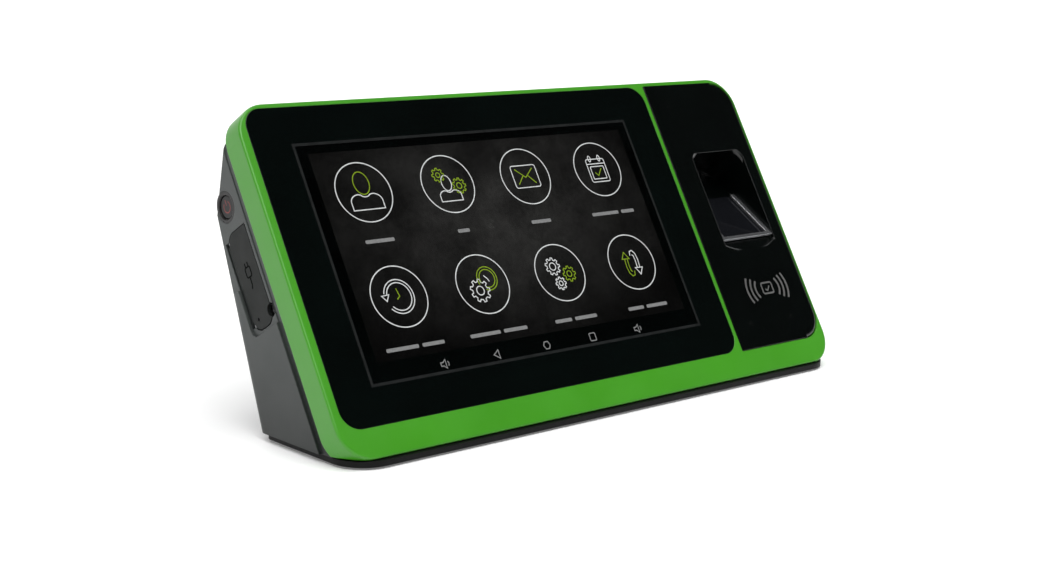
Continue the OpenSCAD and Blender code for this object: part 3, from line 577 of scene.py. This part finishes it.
def pocket_lip():
    """The rounded edge along the pocket's lower rim; its lighter metallic grey is a painted highlight."""
    bm = bmesh.new()
    cx, cy = LIP_CENTRE
    rings = []
    for i in range(LIP_STEPS + 1):
        along = 2 * i / LIP_STEPS - 1
        a = math.radians(-90 + LIP_SPREAD * along)
        thick = LIP_THICK * (1 - LIP_TAPER * abs(along) ** 4)
        rings.append([])
        for k in range(LIP_AROUND):
            turn = TURN * k / LIP_AROUND
            out = LIP_R + thick * math.cos(turn)
            spot = on_face(cx + out * math.cos(a), cy + out * math.sin(a),
                           LIP_LEVEL + thick * math.sin(turn))
            rings[-1].append(bm.verts.new(spot))
    for one, two in zip(rings, rings[1:]):
        for k in range(LIP_AROUND):
            after = (k + 1) % LIP_AROUND
            bm.faces.new((one[k], one[after], two[after], two[k]))
    bm.faces.new(rings[0])
    bm.faces.new(rings[-1][::-1])
    piece("pocket_lip", bm, LIP_HIGHLIGHT)


card_mark()
pocket_lip()


# ---- side: power glyph and plug mark ----

BUTTON_AT = (-22.8, 31.6)
DOOR_MARK_AT = (-21.6, 7.2)
GLYPH_LINE = (0.42, -0.01, 0.02)  # width, then from and to above the button
PLUG_Z = (-0.01, 0.05)
PLUG_LINE = (0.5, *PLUG_Z)
PRONG = 0.25  # half a prong's width


def on_side(node):
    """Places points on a left side face: x out of the display, y up it, height out of the side."""
    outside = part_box(node)[0][0]

    def place(x, y, height):
        point = on_face(0, y, x)
        point.x = outside - height * MM
        return point
    return place


def power_glyph():
    """An open ring with a bar, on the button's cap."""
    bm = bmesh.new()
    place = on_side("power_button")
    x, y = BUTTON_AT
    stroke(bm, arc(x, y, 1.9, 130, 410, 32), *GLYPH_LINE, place=place)
    stroke(bm, [(x, y + 0.5), (x, y + 2.5)], *GLYPH_LINE, place=place)
    piece("power_glyph", bm, GLYPH, body="button")


def plug_mark():
    """A plain plug on the door: cable, body and two prongs."""
    bm = bmesh.new()
    place = on_side("usb_door")
    x, y = DOOR_MARK_AT
    stroke(bm, rounded(x - 1.5, y - 1.0, x + 1.5, y + 2.4, 0.7, 5), *PLUG_LINE, closed=True,
           place=place)
    for side in (-0.8, 0.8):
        plate(bm, rectangle(x + side - PRONG, y + 2.4, x + side + PRONG, y + 4.0), *PLUG_Z, place)
    stroke(bm, [(x, y - 1.0), (x, y - 3.6), (x - 0.6, y - 5.0)], *PLUG_LINE, place=place)
    piece("plug_mark", bm, MARK, body="door")


power_glyph()
plug_mark()


# ---- camera, lights and floor ----

# the camera was fitted to the object in the photograph; metres, and directions of unit length
CAMERA_AT = (-0.434512, -0.463491, 0.163949)
CAMERA_RIGHT = (0.742463, -0.669560, 0.020940)
CAMERA_UP = (0.112495, 0.155436, 0.981419)
LENS_MM, SENSOR_MM = 61.0685, 36

WALL_LIGHT, CEILING_LIGHT = 0.9, 0.02
WALL_TOP, CEILING_START = 0.10, 0.34  # heights on the world's unit sphere
FLOOR_HALF = 12
FLOOR_CELLS = 12
FLOOR_GLOW = 0.15


def camera():
    data = bpy.data.cameras.new("camera")
    data.lens = LENS_MM
    data.sensor_width = SENSOR_MM
    data.clip_start, data.clip_end = 0.01, 20
    obj = bpy.data.objects.new("camera", data)
    bpy.context.scene.collection.objects.link(obj)
    right, up = Vector(CAMERA_RIGHT), Vector(CAMERA_UP)
    turn = Matrix((right, up, right.cross(up))).transposed()
    obj.matrix_world = Matrix.Translation(CAMERA_AT) @ turn.to_4x4()
    bpy.context.scene.camera = obj


def aim(obj, where, target):
    obj.location = where
    obj.rotation_euler = (Vector(target) - Vector(where)).to_track_quat("-Z", "Y").to_euler()
    bpy.context.scene.collection.objects.link(obj)


def softbox(name, where, target, size, power):
    data = bpy.data.lights.new(name, "AREA")
    data.shape = "RECTANGLE"
    data.size, data.size_y = size
    data.energy = power
    aim(bpy.data.objects.new(name, data), where, target)


def soft_sun(name, direction, strength, spread):
    """Even light over the whole floor; direction points at the light."""
    data = bpy.data.lights.new(name, "SUN")
    data.energy = strength
    data.angle = math.radians(spread)
    aim(bpy.data.objects.new(name, data), direction, (0, 0, 0))


def white_room():
    """Pale walls and, a little above eye level, a dim ceiling, so that the glass stays black."""
    world = bpy.data.worlds.new("studio")
    bpy.context.scene.world = world
    world.use_nodes = True
    tree = world.node_tree
    place = tree.nodes.new("ShaderNodeTexCoord")
    split = tree.nodes.new("ShaderNodeSeparateXYZ")
    tree.links.new(place.outputs["Generated"], split.inputs["Vector"])
    level = ramp(tree, split.outputs["Z"], WALL_TOP, CEILING_START, WALL_LIGHT, CEILING_LIGHT)
    tree.links.new(level, tree.nodes["Background"].inputs["Strength"])
    tree.nodes["Background"].inputs["Color"].default_value = (1, 1, 1, 1)


def studio():
    """A wide white floor that glows a little, the room, a soft overhead sun and two softboxes."""
    bm = bmesh.new()
    bmesh.ops.create_grid(bm, x_segments=FLOOR_CELLS, y_segments=FLOOR_CELLS, size=FLOOR_HALF)
    mesh = bpy.data.meshes.new("floor")
    bm.to_mesh(mesh)
    bm.free()
    paper = moulded("floor_paper", (0.9, 0.9, 0.9), 0.9, tint=0.005, edge=0, grain=500,
                    grain_depth=0.01, specular=0.1)
    glow = paper.node_tree.nodes["Principled BSDF"]
    glow.inputs["Emission Color"].default_value = (1, 1, 1, 1)
    glow.inputs["Emission Strength"].default_value = FLOOR_GLOW
    mesh.materials.append(paper)
    floor = bpy.data.objects.new("floor", mesh)
    bpy.context.scene.collection.objects.link(floor)
    white_room()
    soft_sun("overhead", (-0.12, -0.32, 0.94), 3.1, 60)
    softbox("left", (-1.3, 0.1, 0.45), (-0.1, 0, 0.05), (0.5, 0.9), 0.6)
    softbox("rear", (0.6, 3.2, 2.0), (0, 0, 0.05), (3.0, 1.2), 60)
    bpy.context.scene.view_settings.view_transform = "Standard"


camera()
studio()
